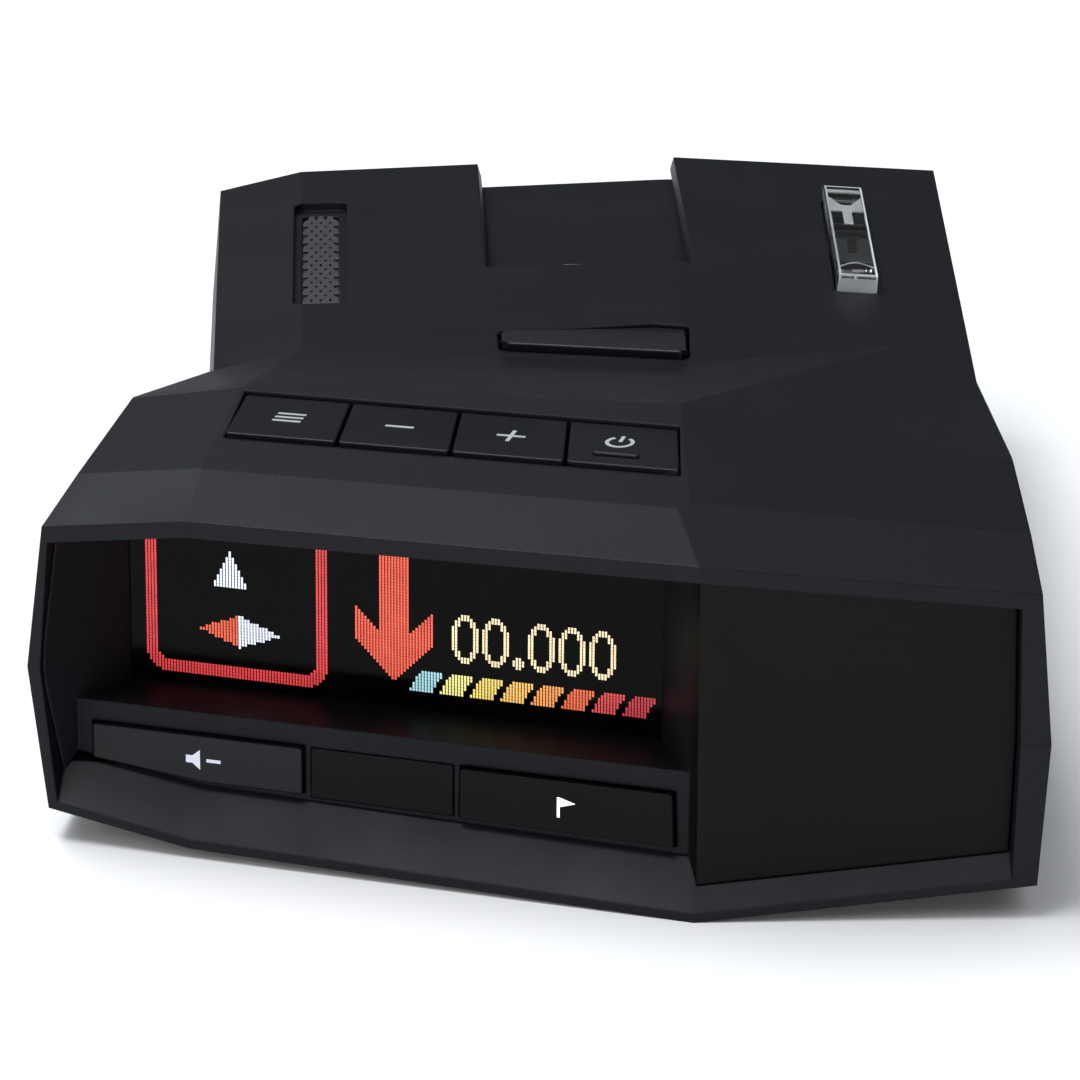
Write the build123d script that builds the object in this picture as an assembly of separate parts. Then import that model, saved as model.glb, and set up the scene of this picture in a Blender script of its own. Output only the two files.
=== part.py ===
from build123d import *
import os
from math import cos, sin, radians

os.makedirs("parts", exist_ok=True)

# A windshield-mounted radar detector. +X is the driver's right, +Y points at the windshield, +Z is up.
# The model is drawn with y = 0 at the nose of the display end and shifted at the end, so that the
# origin lies under the middle of the housing. All sizes are in millimetres.

# ---- driving dimensions -------------------------------------------------------------------------
LENGTH = 115.0            # nose to windshield end
HALF_WIDTH = 43.95        # middle to the widest line of either side
PART_Z = 16.6             # height of the seam between the covers, at the widest line
WALL = 1.8                # housing wall
NOSE_X = 13.6             # where the display face meets the antenna face
FACE_TURN = 17.5          # the display face is turned this many degrees towards the driver
NOSE_TOP = 33.2           # rim height at the nose
BEND_S = -45.8            # along the display face, where its top and bottom edges kink
LEFT_S = -58.7            # left end of the display face
RIM_LIP = 1.5             # height of the rim above the display opening
CHIN_LIP = 0.8            # height of the rim below the display opening
CHIN_SLOPE = 0.85         # rise of the chin per millimetre of depth
PANEL_DEPTH = 4.0         # button panel behind the display face
ANTENNA_DEPTH = 2.0       # antenna panel behind the right-hand face
SCREEN_DEPTH = 10.1       # display window behind the display face
LEDGE_Z = 12.3            # top of the ledge under the display
GAP = 0.15                # clearance round a moving button
KEY_TRAVEL = 0.4          # travel of the four top keys
PUSH_TRAVEL = 0.5         # travel of the two front buttons
RELEASE_TRAVEL = 1.5      # travel of the mount release button
NOTCH_DEPTH = 2.5         # depth of the bracket recess
NOTCH_X = (-2.4, 17.5)    # sides of the bracket recess at the roof
NOTCH_NEAR_Y = 79.3       # near end of the bracket recess
BOARD_Z = 4.0             # underside of the main board
BOARD_T = 1.6             # thickness of a circuit board
BIG = 300.0

FACE = Location((NOSE_X, 0, 0), (0, 0, -FACE_TURN))
ORIGIN_SHIFT = Pos(0, -LENGTH / 2, 0)
INSIDE = Vector(5, 45, 15)


# ---- small helpers ------------------------------------------------------------------------------
def keep(name, shape):
    """Write one node, moved so that the origin is under the middle of the housing."""
    solids = [ORIGIN_SHIFT * solid for solid in shape.solids()]
    part = Compound(children=solids) if len(solids) > 1 else solids[0]
    export_step(part, f"parts/{name}.step")


def block(x, y, z):
    """A box from pairs of limits."""
    size = (x[1] - x[0], y[1] - y[0], z[1] - z[0])
    return Pos((x[0] + x[1]) / 2, (y[0] + y[1]) / 2, (z[0] + z[1]) / 2) * Box(*size)


def rod(x, y, z0, z1, radius):
    """An upright cylinder."""
    return Pos(x, y, (z0 + z1) / 2) * Cylinder(radius, z1 - z0)


def face_point(s, depth, z):
    """A point given along the display face, behind it, and above the base."""
    turn = radians(FACE_TURN)
    return Vector(NOSE_X + s * cos(turn) + depth * sin(turn), -s * sin(turn) + depth * cos(turn), z)


def side(a, b, c, inside=INSIDE):
    """The plane through three points, with its normal pointing away from the inside point."""
    normal = (b - a).cross(c - a).normalized()
    if normal.dot(inside - a) > 0:
        normal = normal * -1
    return Plane(origin=a, z_dir=normal)


def convex(planes, inset=0.0):
    """The solid behind all the planes, each moved inwards by inset."""
    body = Box(BIG, BIG, BIG)
    for plane in planes:
        body = split(body, bisect_by=plane.offset(-inset), keep=Keep.BOTTOM)
    return body


def on_plane(plane, x, y, lift_by=0.0):
    """The point of a plane above a plan point."""
    rise = (plane.origin - Vector(x, y, 0)).dot(plane.z_dir) / plane.z_dir.Z
    return Vector(x, y, rise + lift_by)


# ---- corners of the housing ---------------------------------------------------------------------
nose_low = Vector(NOSE_X, 0, 0)
nose_high = Vector(NOSE_X, 0, NOSE_TOP)
bend_low = face_point(BEND_S, 0, 1.0)
bend_high = face_point(BEND_S, 0, 32.0)
left_low = face_point(LEFT_S, 0, 3.2)
left_high = face_point(LEFT_S, 0, 30.0)
left_mid = Vector(-HALF_WIDTH, 18.2, PART_Z)
right_low = Vector(43.2, 0, 3.3)
right_high = Vector(42.7, 0, 30.5)
right_mid = Vector(HALF_WIDTH, 0, PART_Z)

brow_bend = Vector(-28.6, 21.1, 34.0)        # upper line of the brow, left to right
brow_left = Vector(-39.3, 24.9, 32.25)
brow_nose = Vector(13.3, 8.0, 35.2)
brow_right = Vector(42.6, 8.6, 32.4)
hood_left = Vector(-35.0, 40.1, 33.3)        # rear line of the hood, left to right
hood_key = Vector(-25.2, 37.5, 35.15)
hood_nose = Vector(13.5, 29.4, 36.5)
hood_right = Vector(42.5, 23.4, 33.3)
waist_left = Vector(-28.3, 49.4, 32.1)       # foot of the hood, left to right
waist_crease = Vector(-20.0, 55.6, 31.9)
waist_mid = Vector(-3.6, 52.3, 32.45)
waist_ridge = Vector(15.5, 49.0, 33.1)
waist_right = Vector(41.6, 47.6, 31.5)
tail_left = Vector(-28.3, 112.0, 27.6)       # windshield end, left to right
tail_crease = Vector(-20.2, 113.0, 29.25)
tail_ridge = Vector(15.6, LENGTH, 30.05)
tail_right = Vector(43.85, LENGTH, 28.4)
tail_seam = Vector(43.9, LENGTH, PART_Z)      # widest line of the right wall, behind and at the waist
waist_seam = Vector(41.66, 47.6, PART_Z)

left_axis = Vector(5.0, 24.0, 0)             # plan direction of the left wall of the hood
back = Vector(0, 1, 0)
down = Vector(0, 0, -1)

base = Plane(origin=(0, 0, 0), z_dir=(0, 0, -1))
face_plane = side(nose_low, nose_high, left_low)
antenna_plane = side(nose_low, nose_high, right_low)
right_upper = side(right_mid, right_high, right_mid + back)
right_lower = side(right_mid, right_low, right_mid + back)
hood_seam = Vector(HALF_WIDTH, 23.4, PART_Z)
hood_seam_rear = Vector(42.89, 47.6, PART_Z)

head_planes = [
    base, face_plane, antenna_plane, right_upper, right_lower,
    side(bend_high, nose_high, brow_nose),                       # brow, three facets
    side(left_high, bend_high, brow_bend),
    side(nose_high, right_high, brow_right),
    side(brow_bend, brow_nose, hood_key),                        # hood, three facets
    side(brow_left, brow_bend, hood_key),
    side(brow_nose, brow_right, hood_nose),
    side(hood_key, waist_crease, waist_mid),                     # slope behind the hood
    side(hood_left, hood_key, waist_crease),
    side(hood_nose, hood_right, waist_right),
    side(left_mid, left_high, left_mid + left_axis),             # left wall above and below the seam
    side(left_mid, left_low, left_mid + left_axis),
    side(left_high, brow_left, hood_left),                       # left shoulder
    side(hood_left, waist_left, hood_left + down),
    side(waist_left, waist_crease, waist_left + down),
    side(nose_low, bend_low, nose_low + Vector(-3.0, 16.0, -3.2)),       # underside of the chin
    side(bend_low, left_low, bend_low + Vector(3.0, 16.0, -3.2)),
    side(nose_low, right_low, nose_low + Vector(0.0, 16.0, -3.2)),
    side(hood_right, waist_right, hood_seam),                    # right wall, drawn in behind the hood
    side(hood_seam, hood_seam_rear, Vector(43.2, 23.4, 3.3)),
]
tail_planes = [
    base,
    side(waist_right, tail_right, tail_seam),                    # right wall
    side(waist_seam, tail_seam, Vector(43.1, LENGTH, 0)),
    side(waist_crease, tail_crease, tail_ridge),                 # roof, three facets
    side(tail_left, tail_crease, waist_crease),
    side(tail_ridge, tail_right, waist_ridge),
    side(Vector(-29.2, 60, PART_Z), tail_left, Vector(-29.2, 90, PART_Z)),
    side(Vector(-29.2, 60, PART_Z), Vector(-28.6, 60, 0), Vector(-29.2, 90, PART_Z)),
    side(tail_left, tail_crease, tail_left + down),              # windshield end
    side(tail_crease, tail_ridge, tail_crease + down),
    side(tail_ridge, tail_right, tail_ridge + down),
    Plane(origin=(0, 42, 0), z_dir=(0, -1, 0)),
]

outer = convex(head_planes) + convex(tail_planes)
hollow = convex(head_planes, WALL) + convex(tail_planes[:-1] + [tail_planes[-1].offset(WALL)], WALL)

# ---- the mouth: the opening for the display bezel -----------------------------------------------
drop = Vector(0, 0, -RIM_LIP)
lift = Vector(0, 0, CHIN_LIP)
inward = face_point(0, 1, 0) - nose_low
chin_in = inward * PANEL_DEPTH + Vector(0, 0, CHIN_SLOPE * PANEL_DEPTH)
MIDDLE = Vector(8, 9, 17)
nose_foot = nose_low + lift
bend_foot = bend_low + lift
chin_left = side(nose_foot, bend_foot, nose_foot + chin_in, MIDDLE)
chin_bend = side(bend_foot, face_point(-57.8, 0, 3.8), bend_foot + chin_in, MIDDLE)
chin_right = side(nose_foot, right_low + lift, on_plane(chin_left, NOSE_X, PANEL_DEPTH), MIDDLE)
mouth_walls = [
    side(bend_high + drop, nose_high + drop, nose_high + drop + inward, MIDDLE),
    side(left_high + drop, bend_high + drop, bend_high + drop + inward, MIDDLE),
    side(nose_high + drop, right_high + drop, nose_high + drop + back, MIDDLE),
    side(face_point(-59.2, 0, PART_Z), face_point(-58.2, 0, 29), face_point(-59.2, 9, PART_Z), MIDDLE),
    side(face_point(-59.2, 0, PART_Z), face_point(-57.9, 0, 4), face_point(-59.2, 9, PART_Z), MIDDLE),
    side(Vector(41.3, 0, PART_Z), Vector(41.0, 0, 29), Vector(41.2, 2, PART_Z), MIDDLE),
    side(Vector(41.3, 0, PART_Z), Vector(41.0, 0, 4), Vector(41.2, 2, PART_Z), MIDDLE),
    side(face_point(0, 13, 0), face_point(9, 13, 0), face_point(0, 13, 9), MIDDLE),
]


def mouth_room(inset):
    """The opening, display side and antenna side, each with its own chin below it."""
    display_side = split(convex(mouth_walls + [chin_left, chin_bend], inset),
                         bisect_by=Plane(origin=(NOSE_X, 0, 0), z_dir=(1, 0, 0)), keep=Keep.BOTTOM)
    antenna_side = split(convex(mouth_walls + [chin_right], inset),
                         bisect_by=Plane(origin=(NOSE_X, 0, 0), z_dir=(-1, 0, 0)), keep=Keep.BOTTOM)
    return display_side + antenna_side


mouth = mouth_room(0.0)

rib_top = Plane(origin=(0, 0, 6.5), z_dir=(0, 0, 1))
RIB_DEPTH = PANEL_DEPTH + 0.7               # rear of the rib that closes the chin
rib_back = side(face_point(0, RIB_DEPTH, 0), face_point(9, RIB_DEPTH, 0), face_point(0, RIB_DEPTH, 9), nose_low)
chin_rib = convex(head_planes + [rib_top, rib_back, Plane(origin=(NOSE_X + 1.5, 0, 0), z_dir=(1, 0, 0))])
chin_rib += convex(head_planes + [rib_top, Plane(origin=(0, ANTENNA_DEPTH + 2.2, 0), z_dir=(0, 1, 0)),
                                  Plane(origin=(NOSE_X, 0, 0), z_dir=(-1, 0, 0))])
shell = outer - hollow + chin_rib - mouth

# ---- key row ------------------------------------------------------------------------------------
KEY_NEAR, KEY_FAR = 13.8, 23.55              # depth of the near and far edges of the key row
NEAR_START, NEAR_PITCH = -46.6, 10.35        # left end and pitch of the keys along the near edge
FAR_START, FAR_PITCH = -47.8, 10.0           # and along the far edge
KEY_NAMES = ["menu_key", "minus_key", "plus_key", "power_key"]
KEY_SKIRT = 3.2                              # height of a key below the hood
hood_plane = side(brow_bend, brow_nose, hood_key)
hood_up = hood_plane.z_dir


def on_hood(s, depth, lift_by=0.0):
    """The point of the hood above a point of the display face's plan, lifted along the hood's normal."""
    foot = face_point(s, depth, 0)
    rise = (hood_plane.origin - foot).dot(hood_up) / hood_up.Z
    return foot + Vector(0, 0, rise) + hood_up * lift_by


def key_edge(index, margin, far):
    """Where the divider of a key crosses the near or far edge of the row."""
    start, pitch = (FAR_START, FAR_PITCH) if far else (NEAR_START, NEAR_PITCH)
    return start + pitch * index + margin


def key_solid(first, last, margin, bottom, top_near, top_far):
    """A key or the pocket of several keys: the dividers first and last bound it."""
    near, far = KEY_NEAR + margin, KEY_FAR - margin
    a = on_hood(key_edge(first, margin, False), near, top_near)
    b = on_hood(key_edge(last, -margin, False), near, top_near)
    c = on_hood(key_edge(last, -margin, True), far, top_far)
    d = on_hood(key_edge(first, margin, True), far, top_far)
    centre = (a + b + c + d) * 0.25 - hood_up * 1.0
    walls = [side(p, q, p + hood_up, centre) for p, q in ((a, b), (b, c), (c, d), (d, a))]
    top = side(a, b, c, centre)
    floor = Plane(origin=on_hood(-25, 18, -bottom), z_dir=hood_up * -1)
    return convex(walls + [top, floor])


keys = {}
for i, name in enumerate(KEY_NAMES):
    cap = key_solid(i, i + 1, GAP, KEY_SKIRT, 0.45, -0.3)
    flange = key_solid(i, i + 1, 0.1, KEY_SKIRT, -WALL - 0.6, -WALL - 0.6)
    keys[name] = cap + flange
key_pocket = key_solid(0, 4, 0.0, 6.0, 4.0, 4.0)

KEY_BOARD_DROP = KEY_SKIRT + KEY_TRAVEL + 2.6    # key board below the hood
board_top = Plane(origin=on_hood(-25, 18, -KEY_BOARD_DROP), z_dir=hood_up)
key_board = convex([
    board_top, Plane(origin=board_top.origin - hood_up * 1.0, z_dir=hood_up * -1),
    side(on_hood(-47.0, 14, 0), on_hood(-47.0, 24, 0), on_hood(-47.0, 14, 9), on_hood(-25, 18, 0)),
    side(on_hood(-6.0, 14, 0), on_hood(-6.0, 24, 0), on_hood(-6.0, 14, 9), on_hood(-25, 18, 0)),
    side(on_hood(-47, 15, 0), on_hood(-6, 15, 0), on_hood(-47, 15, 9), on_hood(-25, 18, 0)),
    side(on_hood(-47, 22.5, 0), on_hood(-6, 22.5, 0), on_hood(-47, 22.5, 9), on_hood(-25, 18, 0)),
])
key_switches = Part()
for i in range(4):
    s = (key_edge(i + 0.5, 0, False) + key_edge(i + 0.5, 0, True)) / 2
    seat = Plane(origin=on_hood(s, 18.6, -KEY_BOARD_DROP), x_dir=(1, 0, 0), z_dir=hood_up)
    key_switches += seat * Pos(0, 0, 1.0) * Box(4.0, 4.0, 2.0)
    key_switches += seat * Pos(0, 0, 2.2) * Cylinder(1.0, 0.4)

# ---- front buttons ------------------------------------------------------------------------------
MUTE_OUTLINE = [(-55.9, 10.4), (-36.2, 10.4), (-36.2, 5.75), (-45.6, 5.75), (-55.9, 6.9)]
MARK_OUTLINE = [(-22.1, 10.35), (-2.7, 10.35), (-2.5, 5.05), (-22.2, 5.3)]
BLANK_OUTLINE = [(-35.7, 10.3), (-22.6, 10.3), (-22.6, 5.35), (-35.7, 5.45)]
BUTTON_PROUD = 0.6                           # how far a button stands out of its panel
PANEL_T = 1.6                                # thickness of the button panel


def push(outline, grow, front, rear):
    """A prism on an outline of the display face, grown by grow, between two depths."""
    drawn = make_face(Polyline(*outline, close=True))
    if grow:
        drawn = offset(drawn, grow, kind=Kind.INTERSECTION)
    standing = Plane(origin=(0, front, 0), x_dir=(1, 0, 0), z_dir=(0, -1, 0)) * drawn
    return FACE * extrude(standing, front - rear)


panel_front = PANEL_DEPTH
panel_back = PANEL_DEPTH + PANEL_T
flange_front = panel_back + 0.05
flange_back = panel_back + 0.9


def flange(outline, rear):
    """The taller plate behind the panel that keeps a button from falling out."""
    taller = [(s, z + 0.5 if z > 8 else z - 0.4) for s, z in outline]
    return push(taller, -GAP, flange_front, rear)


mute_dim_button = push(MUTE_OUTLINE, -GAP, panel_front - BUTTON_PROUD, flange_back)
mute_dim_button += flange(MUTE_OUTLINE, flange_back)
mark_button = push(MARK_OUTLINE, -GAP, panel_front - BUTTON_PROUD, flange_back)
mark_button += flange(MARK_OUTLINE, flange_back)
sensor_window = push(BLANK_OUTLINE, -0.05, panel_front - 0.2, flange_back)
sensor_window += flange(BLANK_OUTLINE, flange_back)

BUTTON_BOARD_DEPTH = flange_back + PUSH_TRAVEL + 2.4
button_board = FACE * block((-55, -3.4), (BUTTON_BOARD_DEPTH, BUTTON_BOARD_DEPTH + 1.2), (3.2, 10.2))


def tact_switch(s, z):
    """A push switch on the front of the button board."""
    body = block((s - 2, s + 2), (BUTTON_BOARD_DEPTH - 1.6, BUTTON_BOARD_DEPTH), (z - 2, z + 2))
    plunger = Pos(s, BUTTON_BOARD_DEPTH - 1.8, z) * Rot(90, 0, 0) * Cylinder(0.9, 0.4)
    return FACE * (body + plunger)


mute_dim_switch = tact_switch(-46.0, 7.9)
mark_switch = tact_switch(-12.4, 7.9)
light_sensor = FACE * block((-30.2, -28.2), (BUTTON_BOARD_DEPTH - 1.0, BUTTON_BOARD_DEPTH), (7, 9))

# ---- display bezel ------------------------------------------------------------------------------
FUNNEL_TOP = 30.9                            # ceiling of the display opening, just behind the rim
SCREEN_S = (-54.2, -5.6)


def funnel_left(skin):
    """The left wall of the display opening, moved outwards by skin."""
    return side(face_point(-58.9 - skin, 0.5, 0), face_point(SCREEN_S[0] - skin, SCREEN_DEPTH, 0),
                face_point(-58.9 - skin, 0.5, 9), MIDDLE)


def funnel(skin, rear, front=-3.0):
    """The space in front of the display, or with a skin, the outside of its walls."""
    left = funnel_left(skin)
    right = side(face_point(-0.3 + skin, 2, 0), face_point(SCREEN_S[1] + skin, SCREEN_DEPTH, 0),
                 face_point(-0.3 + skin, 2, 9), MIDDLE)
    ceiling = side(face_point(0, 2, FUNNEL_TOP + skin), face_point(9, 2, FUNNEL_TOP + skin),
                   face_point(0, SCREEN_DEPTH, FUNNEL_TOP - 1.2 + skin), MIDDLE)
    room = FACE * block((-80, 20), (front, rear), (LEDGE_Z - skin, FUNNEL_TOP + 4))
    for plane in (left, right, ceiling):
        room = split(room, bisect_by=plane, keep=Keep.BOTTOM)
    return room


mouth_fit = mouth_room(0.08)
antenna_sheet = mouth_fit & block((-80, 80), (ANTENNA_DEPTH, ANTENNA_DEPTH + 1.8), (0, 40))
antenna_sheet &= FACE * block((-0.6, 80), (ANTENNA_DEPTH, 40), (0, 40))
button_sheet = mouth_fit & FACE * block((-70, -1.0), (panel_front, panel_back), (0, LEDGE_Z))
pillar = mouth_fit & FACE * block((-1.6, 2.6), (ANTENNA_DEPTH, 6), (0, 40))
pillar &= block((-80, 80), (ANTENNA_DEPTH, 9), (0, 40))
funnel_walls = mouth_fit & (funnel(1.4, SCREEN_DEPTH) & FACE * block((-80, 3), (0.5, 40), (0, 40)))
funnel_walls &= block((-80, 80), (ANTENNA_DEPTH, 60), (0, 40))
left_wall = mouth_fit & FACE * block((-70, -50), (0.5, PANEL_DEPTH + 1), (0, LEDGE_Z + 2))
left_wall = split(left_wall, bisect_by=funnel_left(1.4), keep=Keep.BOTTOM)
left_wall = split(left_wall, bisect_by=funnel_left(0), keep=Keep.TOP)
display_bezel = antenna_sheet + button_sheet + pillar + funnel_walls + left_wall
display_bezel -= funnel(0, SCREEN_DEPTH + 1)
slant = convex([
    side(face_point(-0.25, 2, 0), face_point(-1.5, 4, 0), face_point(-0.25, 2, 9), MIDDLE),
    Plane(origin=(0, 0, LEDGE_Z + 0.5), z_dir=(0, 0, 1)),
    side(face_point(0, 4, 0), face_point(9, 4, 0), face_point(0, 4, 9), nose_low),
    funnel_left(0),
])
display_bezel -= slant
display_bezel -= FACE * block((-56, -1), (-1, 2), (LEDGE_Z + 8, 40))
for outline in (MUTE_OUTLINE, MARK_OUTLINE, BLANK_OUTLINE):
    display_bezel -= push(outline, 0.0, 2.0, 8.0)

display_window = FACE * block((-55.0, -5.0), (SCREEN_DEPTH, SCREEN_DEPTH + 1.0), (LEDGE_Z - 0.8, 31.0))
display_window &= mouth_fit
display_module = FACE * block((-54.6, -5.8), (SCREEN_DEPTH + 1.0, SCREEN_DEPTH + 3.0), (LEDGE_Z - 0.4, 29.4))
display_board = FACE * block((-52.0, -8.0), (SCREEN_DEPTH + 3.0, SCREEN_DEPTH + 4.2), (6.0, 27.0))

# ---- roof features ------------------------------------------------------------------------------
roof_plane = side(waist_crease, tail_crease, tail_ridge)
right_roof = side(tail_ridge, tail_right, waist_ridge)


notch_mid = (NOTCH_X[0] + NOTCH_X[1]) / 2
notch_floor = on_plane(roof_plane, notch_mid, 97, -NOTCH_DEPTH)
notch_centre = notch_floor + Vector(0, 0, 3)
notch = convex([
    Plane(origin=notch_floor, z_dir=roof_plane.z_dir * -1),
    Plane(origin=(0, NOTCH_NEAR_Y, 0), z_dir=(0, -1, 0)),
    side(on_plane(roof_plane, NOTCH_X[0], 80), on_plane(roof_plane, NOTCH_X[0], 110),
         on_plane(roof_plane, NOTCH_X[0] + 0.7, 80, -NOTCH_DEPTH), notch_centre),
    side(on_plane(roof_plane, NOTCH_X[1], 80), on_plane(roof_plane, NOTCH_X[1], 110),
         on_plane(roof_plane, NOTCH_X[1] - 0.7, 80, -NOTCH_DEPTH), notch_centre),
])
notch_box = block((-8, 23), (NOTCH_NEAR_Y - 1.8, 130), (20, 40))
notch_pan = convex(tail_planes) & notch_box
pan_under = Plane(origin=notch_floor - Vector(0, 0, 1.6), z_dir=roof_plane.z_dir * -1)
notch_pan = split(notch_pan, bisect_by=pan_under, keep=Keep.BOTTOM)
notch_pan &= block((NOTCH_X[0] - 3.2, NOTCH_X[1] + 3.2), (NOTCH_NEAR_Y - 1.8, 130), (20, 40))
grooves = Part()
for x0, x1 in ((NOTCH_X[0] - 0.9, NOTCH_X[0] + 1.2), (NOTCH_X[1] - 1.2, NOTCH_X[1] + 0.9)):
    strip = block((x0, x1), (NOTCH_NEAR_Y + 4, 130), (20, 40))
    strip = split(strip, bisect_by=Plane(origin=notch_floor, z_dir=roof_plane.z_dir * -1), keep=Keep.BOTTOM)
    strip = split(strip, bisect_by=Plane(origin=notch_floor + Vector(0, 0, 1.1), z_dir=roof_plane.z_dir),
                  keep=Keep.BOTTOM)
    grooves += strip

BUTTON_PLAN = [(-1.8, 53.5), (15.5, 49.1), (16.0, 59.3), (12.9, 60.3), (-1.9, 58.9)]
release_top = side(on_plane(roof_plane, -1.8, 53.5, 0.8), on_plane(roof_plane, 15.5, 49.1, 0.8),
                   on_plane(roof_plane, 5.0, 59.6, 0.0), Vector(7, 55, 25))
release_plan = make_face(Polyline(*BUTTON_PLAN, close=True))
release_plan = fillet(release_plan.vertices(), 0.9)
release_pocket = extrude(Plane.XY.offset(24) * release_plan, 16)
release_cap = extrude(Plane.XY.offset(27.4) * offset(release_plan, -0.35), 12)
release_button = split(release_cap, bisect_by=release_top, keep=Keep.BOTTOM)
release_button += block((0.5, 13.5), (54.5, 60.5), (26.2, 27.4))
release_button -= block((2.0, 12.0), (54.0, 58.0), (27.4, 30.4))

LATCH_X = (4.0, 10.5)
LATCH_LOW = 23.4
mount_latch = block(LATCH_X, (58.2, 78.0), (24.6, 26.2))
mount_latch += block(LATCH_X, (76.4, 83.2), (LATCH_LOW, 25.0))
tooth_z = on_plane(roof_plane, notch_mid, 82.0, -NOTCH_DEPTH + 1.2).Z
mount_latch += block((5.2, 9.4), (81.2, 83.2), (LATCH_LOW, tooth_z))
latch_slit = block((4.9, 9.7), (80.9, 83.5), (20, 30))

SPRING_BASE = LATCH_LOW - RELEASE_TRAVEL - 0.5
SPRING_TOP = 26.2
SPRING_X = (1.9, 12.6)
SPRING_Y = 57.2
latch_carrier = block((-0.5, 15.0), (50.5, 63.5), (20.0, SPRING_BASE))
for x0 in (-0.5, 13.8):
    latch_carrier += block((x0, x0 + 1.2), (61.0, 63.5), (SPRING_BASE, 30.0))
latch_springs = Part()
for x in SPRING_X:
    coil = Helix(pitch=1.15, height=SPRING_TOP - SPRING_BASE - 0.5, radius=1.1)
    start = Plane(origin=coil @ 0, z_dir=coil % 0)
    wire = sweep(start * Circle(0.22), path=coil)
    latch_springs += Pos(x, SPRING_Y, SPRING_BASE + 0.25) * wire

grille_pocket = block((-20.8, -15.6), (69.3, 102.1), (20, 40))
grille_pocket = fillet(grille_pocket.edges().filter_by(Axis.Z), 1.1)
pocket_floor = Plane(origin=roof_plane.origin - Vector(0, 0, 0.9), z_dir=roof_plane.z_dir * -1)
grille_pocket = split(grille_pocket, bisect_by=pocket_floor, keep=Keep.BOTTOM)
grille_slot = block((-20.0, -16.4), (69.7, 100.2), (20, 40))
grille_slot = fillet(grille_slot.edges().filter_by(Axis.Z), 0.7)
MESH_DROP = 1.2
mesh_top = Plane(origin=roof_plane.origin - Vector(0, 0, MESH_DROP), z_dir=roof_plane.z_dir)
speaker_mesh = split(grille_slot, bisect_by=mesh_top, keep=Keep.BOTTOM)
speaker_mesh = split(speaker_mesh, bisect_by=Plane(origin=mesh_top.origin - Vector(0, 0, 0.6),
                                                   z_dir=mesh_top.z_dir * -1), keep=Keep.BOTTOM)
for row in range(13):
    y = 71.6 + row * 2.2
    for x in (-19.3, -18.2, -17.1):
        speaker_mesh -= rod(x, y, 20, 40, 0.4)

LENS_X = (31.1, 34.9)
LENS_Y = (72.4, 101.9)
LENS_TURN = -1.6                             # degrees, in line with the right wall
LENS_PROUD = 1.7
lens_top = Plane(origin=on_plane(right_roof, 33, 86, LENS_PROUD), z_dir=right_roof.z_dir)
lens_bar = split(block(LENS_X, LENS_Y, (25.0, 40)), bisect_by=lens_top, keep=Keep.BOTTOM)
lens_slot = block((LENS_X[0] - 0.1, LENS_X[1] + 0.1), (LENS_Y[0] - 0.1, LENS_Y[1] + 0.1), (20, 40))
lens_under = Plane(origin=on_plane(right_roof, 33, 86, -WALL), z_dir=right_roof.z_dir * -1)
laser_lens = split(lens_bar, bisect_by=lens_under, keep=Keep.BOTTOM)
laser_lens += lens_bar & block(LENS_X, (80, 92), (25.0, 40))
lens_middle = Pos(sum(LENS_X) / 2, sum(LENS_Y) / 2, 0)
lens_turn = lens_middle * Rot(0, 0, LENS_TURN) * lens_middle.inverse()
laser_lens = lens_turn * laser_lens
lens_slot = lens_turn * lens_slot

# ---- covers -------------------------------------------------------------------------------------
POSTS = [(-33.5, 33.0), (37.5, 44.5), (-24.5, 107.5), (37.5, 107.5)]
POST_R = 2.9
shell -= key_pocket + release_pocket + grille_pocket + grille_slot + lens_slot
shell += notch_pan
shell -= notch + grooves + latch_slit
posts = Part()
for x, y in POSTS:
    posts += rod(x, y, 0.5, 34, POST_R)
shell += posts & hollow

FRONT_LENS = ((23.5, 33.5), (9.0, 19.0))
shell -= block(FRONT_LENS[0], (LENGTH - 4, LENGTH + 4), FRONT_LENS[1])
front_laser_lens = block((23.6, 33.4), (LENGTH - 2.4, LENGTH - 0.3), (9.1, 18.9))
JACK_Z = BOARD_Z + BOARD_T
shell -= block((-40, -20), (85.0, 97.0), (JACK_Z + 0.2, JACK_Z + 9.6))
shell -= Pos(-30, 77, JACK_Z + 3) * Rot(0, 90, 0) * Cylinder(2.6, 16)
shell -= block((36, 60), (86.0, 95.4), (JACK_Z - 0.2, JACK_Z + 4.6))
for x, y in POSTS:
    shell -= rod(x, y, -5, 22.5, 1.25)
    shell -= rod(x, y, -5, 3.0, 2.5)
BOARD_POSTS = [(-20.0, 50.0), (34.0, 56.0), (-12.0, 104.0), (28.0, 104.0)]
for x, y in BOARD_POSTS:
    shell += rod(x, y, 1.0, BOARD_Z, 2.4)
    shell -= rod(x, y, 1.4, BOARD_Z + 1, 0.8)

half = block((-BIG, BIG), (-BIG, BIG), (PART_Z, BIG))
top_cover = shell & half
bottom_cover = shell - half
cover_screws = Part()
for x, y in POSTS:
    cover_screws += rod(x, y, 1.6, 3.0, 2.3) + rod(x, y, 3.0, 22.0, 1.2)
    cover_screws -= block((x - 1.6, x + 1.6), (y - 0.3, y + 0.3), (0, 2.1))
    cover_screws -= block((x - 0.3, x + 0.3), (y - 1.6, y + 1.6), (0, 2.1))

# ---- electronics --------------------------------------------------------------------------------
main_board = block((-24.5, 38.5), (47.0, 109.0), (BOARD_Z, BOARD_Z + BOARD_T))
for x, y in POSTS:
    main_board -= rod(x, y, 0, 30, POST_R + 0.4)
board_screws = Part()
for x, y in BOARD_POSTS:
    main_board -= rod(x, y, 0, 10, 1.0)
    board_screws += rod(x, y, 1.5, JACK_Z, 0.75) + rod(x, y, JACK_Z, JACK_Z + 1.1, 1.7)


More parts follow.
